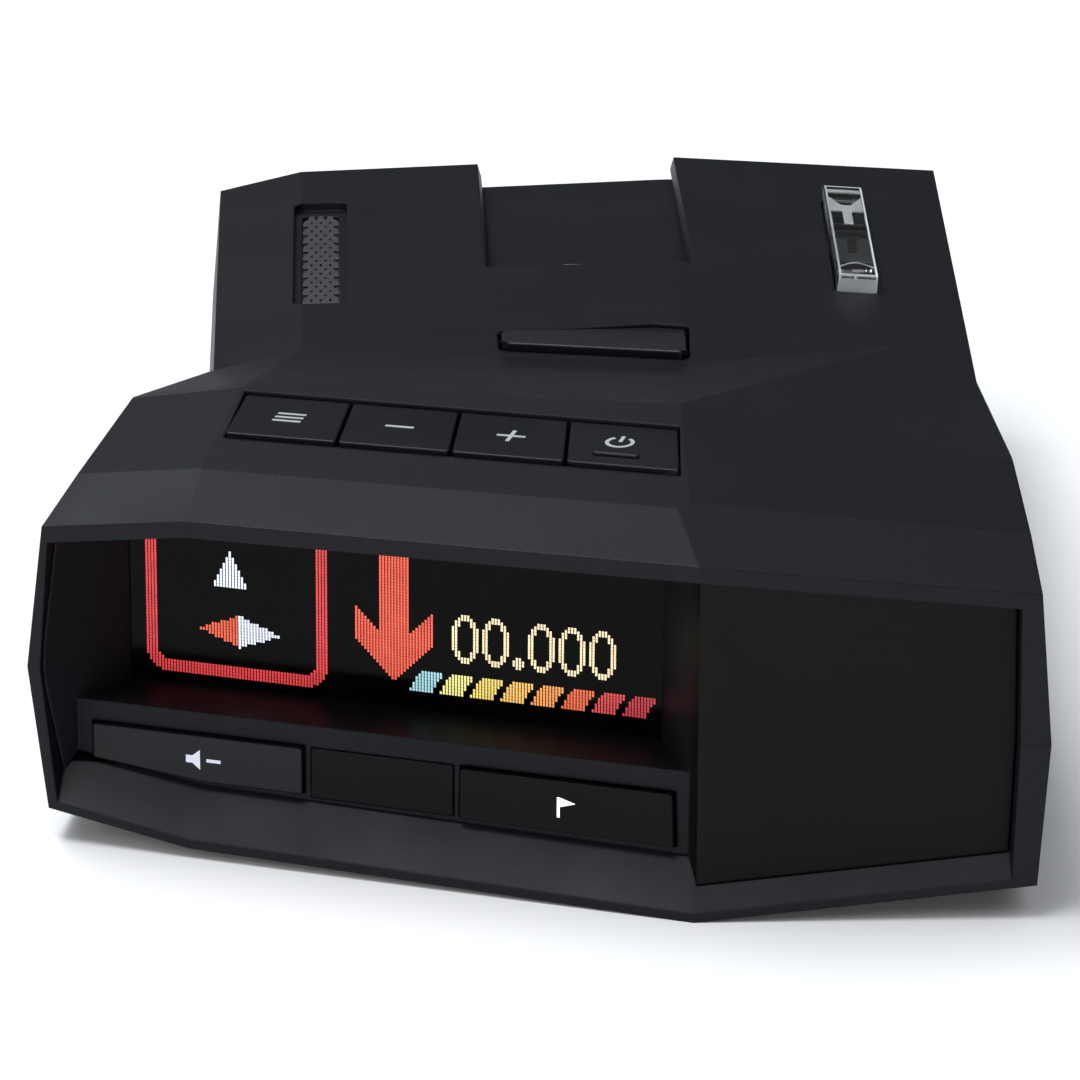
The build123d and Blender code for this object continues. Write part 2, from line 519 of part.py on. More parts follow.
def horn(throat, mouth_size, throat_y, mouth_y, x, z, tail):
    """A cast horn antenna with a closed waveguide block behind its throat."""
    def section(size, y):
        return Plane(origin=(x, y, z), x_dir=(1, 0, 0), z_dir=(0, 1, 0)) * Rectangle(*size)
    skin = 1.0
    way = 1 if mouth_y > throat_y else -1
    outside = loft([section(throat, throat_y), section(mouth_size, mouth_y)])
    inner_throat = (throat[0] - 2 * skin, throat[1] - 2 * skin)
    inner_mouth = (mouth_size[0] - 2 * skin, mouth_size[1] - 2 * skin)
    inside = loft([section(inner_throat, throat_y), section(inner_mouth, mouth_y)])
    guide = [throat_y - way * tail, throat_y]
    room = [throat_y - way * (tail - 2), throat_y]
    size_x, size_z = throat[0] / 2, throat[1] / 2
    body = block((x - size_x, x + size_x), sorted(guide), (z - size_z, z + size_z))
    cave = block((x - size_x + skin, x + size_x - skin), sorted(room), (z - size_z + skin, z + size_z - skin))
    return outside - inside + (body - cave)


front_horn_antenna = horn((15, 8), (31, 15.4), 84, 110.4, 6.5, 14.2, 14)
rear_horn_antenna = horn((11, 7), (21, 17), 32, 6.2, 29.0, 16.0, 11)
rf_shield = block((-5.5, 22.0), (49.0, 68.0), (JACK_Z, JACK_Z + 4.2))
rf_shield -= block((-4.9, 21.4), (49.6, 67.4), (0, JACK_Z + 3.8))
processor_shield = block((24.5, 36.0), (60.0, 78.0), (JACK_Z, JACK_Z + 2.6))
processor_shield -= block((25.0, 35.5), (60.5, 77.5), (0, JACK_Z + 2.2))
gps_antenna = block((-22.5, -7.5), (55.0, 70.0), (JACK_Z, JACK_Z + 4.0))
gps_antenna += rod(-15.0, 62.5, JACK_Z + 4.0, JACK_Z + 4.3, 0.9)
power_jack = block((-26.7, -14.5), (84.5, 97.5), (JACK_Z, JACK_Z + 11.0))
power_jack -= block((-40.0, -18.0), (86.0, 96.0), (JACK_Z + 1.2, JACK_Z + 8.4))
audio_jack = block((-26.7, -15.5), (73.8, 80.2), (JACK_Z, JACK_Z + 6.0))
audio_jack += Pos(-27.6, 77, JACK_Z + 3) * Rot(0, 90, 0) * Cylinder(2.4, 1.8)
audio_jack -= Pos(-24.5, 77, JACK_Z + 3) * Rot(0, 90, 0) * Cylinder(1.8, 12)
usb_port = block((33.5, 41.0), (86.4, 95.0), (JACK_Z, JACK_Z + 4.2))
usb_port -= block((34.5, 60), (87.0, 94.4), (JACK_Z + 0.6, JACK_Z + 3.6))
speaker = block((-26.2, -14.2), (74.0, 92.0), (20.4, 24.2))
speaker += block((-25.0, -15.4), (76.0, 90.0), (24.2, 25.4))
laser_sensor = block((28.0, 38.0), (76.0, 96.0), (22.6, 23.6))
laser_sensor += block((31.0, 34.9), (82.0, 90.0), (23.6, 24.9))
front_laser_sensor = block((24.0, 33.0), (109.2, 110.2), (6.6, 20.0))
front_laser_sensor += block((26.0, 31.0), (110.2, 111.6), (11.5, 16.5))
ribbon_back = SCREEN_DEPTH + 4.2
display_ribbon = FACE * block((-32, -22), (ribbon_back, ribbon_back + 0.3), (2.9, 16.0))
display_ribbon += FACE * block((-32, -22), (ribbon_back, 36.0), (2.6, 2.9))

nodes = {
    "top_cover": top_cover, "bottom_cover": bottom_cover, "display_bezel": display_bezel,
    "display_window": display_window, "display_module": display_module, "display_board": display_board,
    "mute_dim_button": mute_dim_button, "mark_button": mark_button, "sensor_window": sensor_window,
    "button_board": button_board, "mute_dim_switch": mute_dim_switch, "mark_switch": mark_switch,
    "light_sensor": light_sensor, "key_board": key_board, "key_switches": key_switches,
    "release_button": release_button, "mount_latch": mount_latch, "latch_carrier": latch_carrier,
    "latch_springs": latch_springs, "speaker_mesh": speaker_mesh, "speaker": speaker,
    "laser_lens": laser_lens, "laser_sensor": laser_sensor, "front_laser_lens": front_laser_lens,
    "front_laser_sensor": front_laser_sensor, "front_horn_antenna": front_horn_antenna,
    "rear_horn_antenna": rear_horn_antenna, "main_board": main_board, "rf_shield": rf_shield,
    "processor_shield": processor_shield, "gps_antenna": gps_antenna, "power_jack": power_jack,
    "audio_jack": audio_jack, "usb_port": usb_port, "display_ribbon": display_ribbon,
    "cover_screws": cover_screws, "board_screws": board_screws,
}
nodes.update(keys)
for name, shape in nodes.items():
    keep(name, shape)
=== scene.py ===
from math import cos, sin, pi, radians

import bpy
from mathutils import Matrix, Vector


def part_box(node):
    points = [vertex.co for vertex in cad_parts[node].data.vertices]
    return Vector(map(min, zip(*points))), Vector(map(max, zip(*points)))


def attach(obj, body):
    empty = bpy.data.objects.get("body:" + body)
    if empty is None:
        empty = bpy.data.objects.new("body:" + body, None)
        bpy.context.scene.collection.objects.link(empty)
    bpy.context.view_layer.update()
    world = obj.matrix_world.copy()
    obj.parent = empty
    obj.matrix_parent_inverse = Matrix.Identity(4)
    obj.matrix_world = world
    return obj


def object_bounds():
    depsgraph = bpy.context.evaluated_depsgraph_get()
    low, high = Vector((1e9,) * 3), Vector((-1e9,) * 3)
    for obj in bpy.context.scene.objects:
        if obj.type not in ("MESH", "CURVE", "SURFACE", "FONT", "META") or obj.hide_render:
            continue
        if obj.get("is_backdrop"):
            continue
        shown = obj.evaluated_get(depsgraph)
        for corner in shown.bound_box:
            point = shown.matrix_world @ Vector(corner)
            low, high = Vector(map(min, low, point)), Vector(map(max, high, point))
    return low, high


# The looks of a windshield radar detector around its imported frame. Metres, +X right, +Y to the windshield.
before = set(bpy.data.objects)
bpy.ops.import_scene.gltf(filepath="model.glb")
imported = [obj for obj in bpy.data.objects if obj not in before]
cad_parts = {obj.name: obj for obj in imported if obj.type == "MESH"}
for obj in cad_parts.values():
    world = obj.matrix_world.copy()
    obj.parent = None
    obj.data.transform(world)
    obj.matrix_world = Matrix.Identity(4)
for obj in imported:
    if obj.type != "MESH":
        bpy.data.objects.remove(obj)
cad_low, cad_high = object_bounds()

MM = 0.001
FACE_TURN = radians(17.5)        # the display face is turned towards the driver
NOSE_X = 13.6 * MM               # where the display face meets the antenna face
NOSE_Y = cad_low.y               # the nose is the nearest point of the housing
INWARD = Vector((sin(FACE_TURN), cos(FACE_TURN), 0))
ALONG = Vector((cos(FACE_TURN), -sin(FACE_TURN), 0))
UP = Vector((0, 0, 1))
PLASTIC_IOR = 1.49


def face_point(along, depth, height):
    """A point on or behind the display face, from distances in millimetres."""
    return Vector((NOSE_X, NOSE_Y, 0)) + (ALONG * along + INWARD * depth + UP * height) * MM


def axes_matrix(x_axis, y_axis, origin):
    """The placement with these local X and Y directions."""
    z_axis = x_axis.cross(y_axis).normalized()
    turn = Matrix((x_axis.normalized(), y_axis.normalized(), z_axis)).transposed().to_4x4()
    return Matrix.Translation(origin) @ turn


# ---- materials ----------------------------------------------------------------------------------
def new_material(name):
    """A node material, with its tree and its shader."""
    material = bpy.data.materials.new(name)
    material.use_nodes = True
    tree = material.node_tree
    return material, tree, tree.nodes["Principled BSDF"]


def noise(tree, scale, detail=3.0, roughness=0.55):
    """A noise texture in the object's own coordinates; scale is in cells per metre."""
    place = tree.nodes.new("ShaderNodeTexCoord")
    texture = tree.nodes.new("ShaderNodeTexNoise")
    texture.inputs["Scale"].default_value = scale
    texture.inputs["Detail"].default_value = detail
    texture.inputs["Roughness"].default_value = roughness
    tree.links.new(place.outputs["Object"], texture.inputs["Vector"])
    return texture.outputs["Fac"]


def ramp(tree, source, low, high, start=0.3, end=0.7):
    """Spreads a texture between two colours."""
    node = tree.nodes.new("ShaderNodeValToRGB")
    node.color_ramp.elements[0].position = start
    node.color_ramp.elements[0].color = (*low, 1)
    node.color_ramp.elements[1].position = end
    node.color_ramp.elements[1].color = (*high, 1)
    tree.links.new(source, node.inputs["Fac"])
    return node.outputs["Color"]


def spread(tree, source, low, high):
    """Spreads a texture between two numbers."""
    node = tree.nodes.new("ShaderNodeMapRange")
    node.inputs["From Min"].default_value = 0.3
    node.inputs["From Max"].default_value = 0.7
    node.inputs["To Min"].default_value = low
    node.inputs["To Max"].default_value = high
    tree.links.new(source, node.inputs["Value"])
    return node.outputs["Result"]


def grain(tree, shader, source, strength, depth, edge=0.0):
    """Bump from a texture, over softly rounded edges where edge is a radius."""
    bump = tree.nodes.new("ShaderNodeBump")
    bump.inputs["Strength"].default_value = strength
    bump.inputs["Distance"].default_value = depth
    tree.links.new(source, bump.inputs["Height"])
    if edge:
        rounded = tree.nodes.new("ShaderNodeBevel")
        rounded.samples = 6
        rounded.inputs["Radius"].default_value = edge
        tree.links.new(rounded.outputs["Normal"], bump.inputs["Normal"])
    tree.links.new(bump.outputs["Normal"], shader.inputs["Normal"])


def moulded(name, dark, light, rough, grain_size, strength, specular=0.5, edge=0.0):
    """Moulded plastic: fine spark-eroded grain, slow changes of tone and of gloss."""
    material, tree, shader = new_material(name)
    fine = noise(tree, 1 / grain_size, 4.0)
    slow = noise(tree, 90.0, 3.0)
    tree.links.new(ramp(tree, fine, dark, light), shader.inputs["Base Color"])
    tree.links.new(spread(tree, slow, rough - 0.05, rough + 0.05), shader.inputs["Roughness"])
    shader.inputs["Specular IOR Level"].default_value = specular
    grain(tree, shader, fine, strength, 0.05 * MM, edge)
    return material


def with_painted_panel_shade(name, panel_shade_dark, panel_shade_light, **finish):
    """Moulded plastic with painted shade: right of the nose, on the antenna panel, its colour is darker and
    smoother.
    """
    material = moulded(name, **finish)
    tree = material.node_tree
    shader = tree.nodes["Principled BSDF"]
    place = tree.nodes.new("ShaderNodeTexCoord")
    parts = tree.nodes.new("ShaderNodeSeparateXYZ")
    edge = tree.nodes.new("ShaderNodeMapRange")
    edge.inputs["From Min"].default_value = NOSE_X - 0.6 * MM
    edge.inputs["From Max"].default_value = NOSE_X + 0.2 * MM
    blend = tree.nodes.new("ShaderNodeMix")
    blend.data_type = "RGBA"
    tree.links.new(place.outputs["Object"], parts.inputs["Vector"])
    tree.links.new(parts.outputs["X"], edge.inputs["Value"])
    tree.links.new(edge.outputs["Result"], blend.inputs["Factor"])
    tree.links.new(shader.inputs["Base Color"].links[0].from_socket, blend.inputs["A"])
    # Painted shade: the antenna panel's darker colour.
    panel = ramp(tree, noise(tree, 120.0, 2.0), panel_shade_dark, panel_shade_light)
    tree.links.new(panel, blend.inputs["B"])
    tree.links.new(blend.outputs["Result"], shader.inputs["Base Color"])
    return material


def polished(name, dark, light, rough, specular=0.5, transmission=0.0):
    """Polished plastic or glass with faint waviness."""
    material, tree, shader = new_material(name)
    slow = noise(tree, 140.0, 2.0)
    tree.links.new(ramp(tree, slow, dark, light), shader.inputs["Base Color"])
    tree.links.new(spread(tree, slow, rough * 0.8, rough * 1.2), shader.inputs["Roughness"])
    shader.inputs["Specular IOR Level"].default_value = specular
    shader.inputs["Transmission Weight"].default_value = transmission
    shader.inputs["IOR"].default_value = PLASTIC_IOR
    grain(tree, shader, slow, 0.05, 0.02 * MM)
    return material


def metal(name, dark, light, rough, grain_size):
    """Rolled or cast metal."""
    material, tree, shader = new_material(name)
    fine = noise(tree, 1 / grain_size, 4.0)
    tree.links.new(ramp(tree, fine, dark, light), shader.inputs["Base Color"])
    tree.links.new(spread(tree, fine, rough - 0.08, rough + 0.08), shader.inputs["Roughness"])
    shader.inputs["Metallic"].default_value = 1.0
    grain(tree, shader, fine, 0.15, 0.02 * MM)
    return material


def glow(name, color, strength):
    """A lit legend or display dot, a little uneven as real ones are; on printed legends the glow is painted
    light.
    """
    material, tree, shader = new_material(name)
    uneven = noise(tree, 700.0, 2.0)
    dim = tuple(c * 0.8 for c in color)
    shade = ramp(tree, uneven, dim, color)
    tree.links.new(shade, shader.inputs["Emission Color"])
    tree.links.new(shade, shader.inputs["Base Color"])
    shader.inputs["Emission Strength"].default_value = strength
    shader.inputs["Roughness"].default_value = 0.4
    return material


HOUSING = moulded("housing_plastic", (0.002, 0.0026, 0.0042), (0.006, 0.007, 0.0102), 0.46, 0.16 * MM, 0.45,
                  0.18, 0.35 * MM)
# The bezel's antenna panel carries painted shade, a darker colour right of the nose.
BEZEL = with_painted_panel_shade("bezel_plastic_painted_shade", (0.0004, 0.0007, 0.001), (0.0008, 0.0012, 0.0016),
                 dark=(0.0042, 0.0048, 0.0064), light=(0.0076, 0.0086, 0.0112), rough=0.46,
                 grain_size=0.18 * MM, strength=0.2, specular=0.14, edge=0.3 * MM)
BUTTON = moulded("button_plastic", (0.0024, 0.003, 0.0046), (0.0046, 0.0056, 0.008), 0.36, 0.2 * MM, 0.1,
                 0.26, 0.2 * MM)
DARK_BUTTON = moulded("dark_button_plastic", (0.0009, 0.0012, 0.0018), (0.002, 0.0026, 0.0036), 0.36,
                      0.2 * MM, 0.1, 0.12, 0.2 * MM)
GRILLE = moulded("grille_plastic", (0.005, 0.0055, 0.006), (0.012, 0.0125, 0.014), 0.4, 0.25 * MM, 0.2)
WINDOW = polished("display_window", (0.0004, 0.0004, 0.0005), (0.0008, 0.0008, 0.001), 0.15, 0.08)
SMOKED = polished("smoked_window", (0.002, 0.002, 0.0025), (0.004, 0.004, 0.005), 0.15)
CLEAR = polished("clear_lens", (0.95, 0.96, 0.97), (1.0, 1.0, 1.0), 0.03, 0.6, 1.0)
# Whitish frosted material, also used for painted highlights on the lens edges.
FROSTED_AND_PAINTED_HIGHLIGHT = polished("frosted_lens_and_painted_highlight", (0.75, 0.77, 0.78), (0.9, 0.92, 0.93), 0.35, 0.5, 0.1)
STEEL = metal("plain_steel", (0.42, 0.43, 0.45), (0.62, 0.63, 0.65), 0.35, 0.4 * MM)
CASTING = metal("cast_alloy", (0.5, 0.51, 0.53), (0.66, 0.67, 0.69), 0.45, 0.6 * MM)
BLACK_BOARD = moulded("black_circuit_board", (0.004, 0.0045, 0.005), (0.009, 0.0095, 0.01), 0.4,
                      0.7 * MM, 0.2)
BOARD = moulded("circuit_board", (0.01, 0.09, 0.035), (0.015, 0.14, 0.055), 0.4, 0.7 * MM, 0.2)
MOULDED_PART = moulded("small_mouldings", (0.01, 0.01, 0.01), (0.02, 0.02, 0.02), 0.5, 0.3 * MM, 0.2)
CERAMIC = moulded("fired_ceramic", (0.45, 0.41, 0.34), (0.6, 0.56, 0.48), 0.35, 0.5 * MM, 0.1)
FILM = moulded("ribbon_film", (0.3, 0.14, 0.03), (0.4, 0.2, 0.05), 0.4, 0.8 * MM, 0.1)

NODE_FINISH = {
    HOUSING: ["top_cover", "bottom_cover", "latch_carrier"],
    BEZEL: ["display_bezel"],
    BUTTON: ["mute_dim_button", "menu_key", "minus_key", "plus_key", "power_key", "release_button"],
    DARK_BUTTON: ["mark_button", "sensor_window"],
    GRILLE: ["speaker_mesh"],
    WINDOW: ["display_window", "display_module"],
    SMOKED: ["front_laser_lens"],
    CLEAR: ["laser_lens"],
    STEEL: ["mount_latch", "latch_springs", "rf_shield", "processor_shield", "usb_port", "cover_screws",
            "board_screws"],
    CASTING: ["front_horn_antenna", "rear_horn_antenna"],
    BLACK_BOARD: ["laser_sensor", "front_laser_sensor", "button_board", "key_board"],
    BOARD: ["display_board", "main_board"],
    MOULDED_PART: ["mute_dim_switch", "mark_switch", "light_sensor", "key_switches", "speaker", "power_jack",
                   "audio_jack"],
    CERAMIC: ["gps_antenna"],
    FILM: ["display_ribbon"],
}
for finish, node_names in NODE_FINISH.items():
    for node_name in node_names:
        for material_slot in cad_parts[node_name].material_slots:
            material_slot.material = finish


def round_edges(node_name, radius):
    """Rounds the sharp edges of a CAD node, without moving the node."""
    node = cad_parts[node_name]
    weld = node.modifiers.new("weld", "WELD")
    weld.merge_threshold = 0.002 * MM
    bevel = node.modifiers.new("round_edges", "BEVEL")
    bevel.width = radius
    bevel.segments = 3
    bevel.limit_method = "ANGLE"
    bevel.angle_limit = radians(25)
    bevel.use_clamp_overlap = False
    bevel.harden_normals = True


# ---- building pieces ----------------------------------------------------------------------------
def add_mesh(name, points, faces, material, body):
    """A new piece from points and faces, riding on a body."""
    mesh = bpy.data.meshes.new(name)
    mesh.from_pydata([tuple(p) for p in points], [], faces)
    mesh.update()
    piece = bpy.data.objects.new(name, mesh)
    bpy.context.collection.objects.link(piece)
    mesh.materials.append(material)
    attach(piece, body)
    return piece


def slab(points, faces, corners, thickness):
    """Adds a closed slab under a counterclockwise outline; thickness is a vector from top to bottom."""
    start, count = len(points), len(corners)
    points.extend(corners)
    points.extend(corner + thickness for corner in corners)
    faces.append(tuple(range(start, start + count)))
    faces.append(tuple(range(start + 2 * count - 1, start + count - 1, -1)))
    for i in range(count):
        j = (i + 1) % count
        faces.append((start + j, start + i, start + count + i, start + count + j))


def facing(node_name, direction, limit=0.96):
    """Middle and normal of the part of a CAD node's outermost surface that faces a direction."""
    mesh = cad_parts[node_name].data
    picked = [p for p in mesh.polygons if p.normal.dot(direction) > limit]
    outermost = max(p.center.dot(direction) for p in picked)
    picked = [p for p in picked if p.center.dot(direction) > outermost - 0.8 * MM]
    area = sum(p.area for p in picked)
    middle = sum((p.center * p.area for p in picked), Vector()) / area
    normal = sum((p.normal * p.area for p in picked), Vector()).normalized()
    return middle, normal


# ---- the dot display ----------------------------------------------------------------------------
SCREEN_LEFT, SCREEN_RIGHT = -54.2, -5.6      # along the display face
SCREEN_DEPTH, SCREEN_FOOT = 10.1, 12.3       # behind the face, and above the base
COLUMNS, ROWS = 176, 60
DOT_PITCH = (SCREEN_RIGHT - SCREEN_LEFT) / COLUMNS
ROW_PITCH = DOT_PITCH * 1.045
SCREEN_MARGIN = 0.3                          # below the lowest row of dots
DOT_WIDE, DOT_HIGH = 0.66, 0.88              # as shares of the pitch
DOT_THICK = 0.03

GLYPHS = {
    ".": (".##.", "####", "####", ".##."),
    "0": ("...###...", "..#####..", ".##...##.", ".##...##.", *["##.....##"] * 8,
          ".##...##.", ".##...##.", "..#####..", "...###..."),
}


def glyph_dots(text, left, foot):
    """The dots of a row of figures, as (column, row) counted from the lower left."""
    dots = []
    for figure in text:
        rows = GLYPHS[figure]
        for i, line in enumerate(reversed(rows)):
            dots += [(left + j, foot + i) for j, mark in enumerate(line) if mark == "#"]
        left += len(rows[0]) + 1
    return dots


def dots_where(test, left, right, foot, top):
    """The dots of a region whose middles pass a test."""
    return [(c, r) for c in range(left, right) for r in range(foot, top) if test(c + 0.5, r + 0.5)]


def in_frame(col, row, left=4.5, right=66.5, foot=2.0, radius=8.5, line=4.0):
    """The compass frame: a line with rounded lower corners, open at the top."""
    middle = (left + right) / 2
    across = abs(col - middle) - ((right - left) / 2 - radius)
    down = foot + radius - row
    if across > 0 and down > 0:
        distance = (across ** 2 + down ** 2) ** 0.5
    else:
        distance = max(across, down)
    return radius - line <= distance < radius


def in_arrow(col, row, middle=88.0):
    """The arrow pointing down: a shaft and two swept barbs."""
    across = abs(col - middle)
    lower_edge = 7.4 + across * 0.97
    upper_edge = 24.0 + (across - 5.0) * 0.94
    return row > lower_edge and (across < 5.0 or (across < 13.5 and row < upper_edge))


def in_diamond(col, row, middle=36.5, height=17.7):
    """The compass needle: a flat diamond."""
    return abs(col - middle) / 14.0 + abs(row - height) / 5.2 < 1.0


def in_bar(col, row, start):
    """One slanted signal bar."""
    shift = (row - 5.0) * 0.55
    return start + shift <= col < start + shift + 7.5


RED, ARROW_RED, NEEDLE_RED = (0.62, 0.045, 0.05), (0.78, 0.10, 0.055), (0.72, 0.11, 0.05)
WHITE, CREAM = (0.78, 0.86, 1.0), (0.85, 0.68, 0.42)
BAR_COLORS = [(0.33, 0.60, 0.66), (0.72, 0.70, 0.24), (0.82, 0.62, 0.15), (0.82, 0.46, 0.12),
              (0.80, 0.31, 0.09), (0.75, 0.14, 0.06), (0.58, 0.06, 0.06), (0.42, 0.035, 0.05)]
display_marks = [
    ("compass_frame", RED, dots_where(in_frame, 4, 67, 2, ROWS)),
    ("compass_pointer", WHITE, [(33 + step, 43 - row) for row in range(12)
                                for step in range(-(row // 2), row // 2 + 1)]),
    ("needle_rear", NEEDLE_RED, dots_where(in_diamond, 22, 36, 12, 24)),
    ("needle_front", WHITE, dots_where(in_diamond, 36, 51, 12, 24)),
    ("arrow", ARROW_RED, dots_where(in_arrow, 74, 102, 7, ROWS)),
    ("readout", CREAM, glyph_dots("00", 107, 16) + glyph_dots(".", 127, 16) + glyph_dots("000", 132, 16)),
]
for i, color in enumerate(BAR_COLORS):
    start_column = 93 + 10 * i
    cells = dots_where(lambda c, r: in_bar(c, r, start_column), start_column, start_column + 13, 5, 12)
    display_marks.append((f"signal_bar_{i + 1}", color, cells))

for mark_name, color, cells in display_marks:
    points, faces = [], []
    for column, row in cells:
        left = SCREEN_LEFT + (column + (1 - DOT_WIDE) / 2) * DOT_PITCH
        right = left + DOT_WIDE * DOT_PITCH
        low = SCREEN_FOOT + SCREEN_MARGIN + (row + (1 - DOT_HIGH) / 2) * ROW_PITCH
        high = low + DOT_HIGH * ROW_PITCH
        depth = SCREEN_DEPTH - DOT_THICK
        corners = [face_point(left, depth, low), face_point(right, depth, low),
                   face_point(right, depth, high), face_point(left, depth, high)]
        slab(points, faces, corners, INWARD * DOT_THICK * 0.9 * MM)
    add_mesh(f"display_{mark_name}", points, faces, glow(f"glow_{mark_name}", color, 0.92), "housing")

# ---- legends ------------------------------------------------------------------------------------
LEGEND_LIT = glow("lit_legend", (0.9, 0.93, 1.0), 1.0)
LEGEND_LIT_SOFT = glow("lit_legend_soft", (0.42, 0.44, 0.52), 0.9)
# Printed legends glow faintly: painted light on print, which is no lamp.
LEGEND_PRINT_PAINTED_GLOW = glow("printed_legend_painted_glow", (0.32, 0.33, 0.36), 0.5)
MARK_THICK = 0.03 * MM


def add_mark(name, outlines, place, body, material):
    """Flat marks given by outlines on a face, in millimetres."""
    points, faces = [], []
    for outline in outlines:
        corners = [place @ Vector((x * MM, y * MM, MARK_THICK)) for x, y in outline]
        slab(points, faces, corners, (place.to_3x3() @ UP) * -MARK_THICK * 0.9)
    return add_mesh(name, points, faces, material, body)


def bar_outline(x0, x1, y0, y1):
    """A rectangle from its limits."""
    return [(x0, y0), (x1, y0), (x1, y1), (x0, y1)]


def ring_outline(radius, width, start, end, steps=28):
    """Part of a ring, from one angle to another in degrees."""
    angles = [radians(start + (end - start) * i / steps) for i in range(steps + 1)]
    outer = [(radius * cos(a), radius * sin(a)) for a in angles]
    inner = [((radius - width) * cos(a), (radius - width) * sin(a)) for a in reversed(angles)]
    return outer + inner


def front_place(node_name, along, height):
    """Placement for a legend on the front of a node of the button panel."""
    middle, normal = facing(node_name, -INWARD)
    depth = (middle - Vector((NOSE_X, NOSE_Y, 0))).dot(INWARD) / MM
    return axes_matrix(ALONG, UP, face_point(along, depth - 0.02, height))


def key_place(node_name):
    """Placement for a legend on the top of a key."""
    middle, normal = facing(node_name, UP, 0.9)
    x_axis = (ALONG - normal * ALONG.dot(normal)).normalized()
    return axes_matrix(x_axis, normal.cross(x_axis), middle + normal * 0.01 * MM)


MINUS_ICON = [bar_outline(-1.3, 1.3, -0.18, 0.18)]
PLUS_ICON = MINUS_ICON + [bar_outline(-0.18, 0.18, 0.18, 1.3), bar_outline(-0.18, 0.18, -1.3, -0.18)]
POWER_ICON = [ring_outline(1.3, 0.34, -235, 55), bar_outline(-0.17, 0.17, 0.1, 1.45)]
SPEAKER_ICON = [[(-1.6, -0.35), (-1.0, -0.35), (-0.3, -0.95), (-0.3, 0.95), (-1.0, 0.35), (-1.6, 0.35)],
                bar_outline(0.3, 1.6, -0.15, 0.15)]
FLAG_ICON = [bar_outline(-0.75, -0.5, -0.95, 0.95), [(-0.5, 0.95), (0.9, 0.5), (-0.5, 0.05)]]
MENU_ICON = [bar_outline(-1.3, 1.3, height - 0.17, height + 0.17) for height in (-0.85, 0.0, 0.85)]
add_mark("legend_mute_dim", SPEAKER_ICON, front_place("mute_dim_button", -45.4, 8.05), "mute_dim_button",
         LEGEND_LIT_SOFT)
add_mark("legend_mark", FLAG_ICON, front_place("mark_button", -12.4, 7.75), "mark_button", LEGEND_LIT)
add_mark("legend_menu", MENU_ICON, key_place("menu_key"), "menu_key", LEGEND_PRINT_PAINTED_GLOW)
add_mark("legend_minus", MINUS_ICON, key_place("minus_key"), "minus_key", LEGEND_PRINT_PAINTED_GLOW)
add_mark("legend_plus", PLUS_ICON, key_place("plus_key"), "plus_key", LEGEND_PRINT_PAINTED_GLOW)
power_place = key_place("power_key") @ Matrix.Translation((-0.5 * MM, 0.6 * MM, 0))
add_mark("legend_power", POWER_ICON, power_place, "power_key", LEGEND_PRINT_PAINTED_GLOW)


def add_bar(name, length, width, height, place, body, material):
    """A raised bar with round ends and a domed top."""
    points, faces = [], []
    levels = [(1.0, 0.0), (1.0, 0.5), (0.8, 0.85), (0.45, 1.0)]
    steps = 10
    for scale, lift in levels:
        radius = width / 2 * scale
        for end, start in ((1, -90), (-1, 90)):
            for i in range(steps + 1):
                angle = radians(start + 180 * i / steps)
                x = end * (length - width) / 2 + radius * cos(angle)
                points.append(place @ Vector((x * MM, radius * sin(angle) * MM, height * lift * MM)))
    count = 2 * (steps + 1)
    faces.append(tuple(reversed(range(count))))
    faces.append(tuple(range(count * (len(levels) - 1), count * len(levels))))
    for level in range(len(levels) - 1):
        for i in range(count):
            j = (i + 1) % count
            a, b = level * count, (level + 1) * count
            faces.append((a + i, a + j, b + j, b + i))
    return add_mesh(name, points, faces, material, body)


add_bar("power_key_ridge", 4.2, 0.55, 0.3, key_place("power_key") @ Matrix.Translation((0, -2.6 * MM, 0)),
        "power_key", BUTTON)

# ---- speaker grille -----------------------------------------------------------------------------
mesh_low, mesh_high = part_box("speaker_mesh")
SCALE_ROWS, SCALE_COLUMNS = 22, 4
SCALE_STEPS = 8
mesh_middle, mesh_normal = facing("speaker_mesh", UP, 0.9)


def mesh_top(x, y):
    """Height of the grille's sheet at a plan point."""
    drop = (x - mesh_middle.x) * mesh_normal.x + (y - mesh_middle.y) * mesh_normal.y
    return mesh_middle.z - drop / mesh_normal.z


points, faces = [], []
row_pitch = (mesh_high.y - mesh_low.y) / SCALE_ROWS
column_pitch = (mesh_high.x - mesh_low.x) / SCALE_COLUMNS
for row in range(SCALE_ROWS):
    for column in range(SCALE_COLUMNS - row % 2):
        x0 = mesh_low.x + (column + 0.5 + 0.5 * (row % 2)) * column_pitch
        y0 = mesh_low.y + (row + 0.5) * row_pitch
        ring = []
        for i in range(SCALE_STEPS + 1):
            angle = pi * i / SCALE_STEPS
            x = x0 + cos(angle) * column_pitch * 0.46
            y = y0 - row_pitch * 0.42 + sin(angle) * row_pitch * 0.84
            lift = 0.12 * MM + 0.3 * MM * sin(angle)
            ring.append(Vector((x, y, mesh_top(x, y) + lift)))
        slab(points, faces, ring, Vector((0, 0, -0.1 * MM)))
add_mesh("grille_scales", points, faces, GRILLE, "housing")

# ---- roof lens ----------------------------------------------------------------------------------
LENS_TURN = radians(-1.6)        # the lens stands in line with the right wall
LENS_WIDE, LENS_LONG = 3.8 * MM, 29.5 * MM
lens_low, lens_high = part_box("laser_lens")
lens_middle, lens_normal = facing("laser_lens", UP, 0.9)
lens_along = Vector((-sin(LENS_TURN), cos(LENS_TURN), 0))
lens_along = (lens_along - lens_normal * lens_along.dot(lens_normal)).normalized()
lens_place = axes_matrix(lens_along.cross(lens_normal), lens_along, (lens_low + lens_high) / 2)
lens_place.translation += lens_normal * (lens_middle - lens_place.translation).dot(lens_normal)


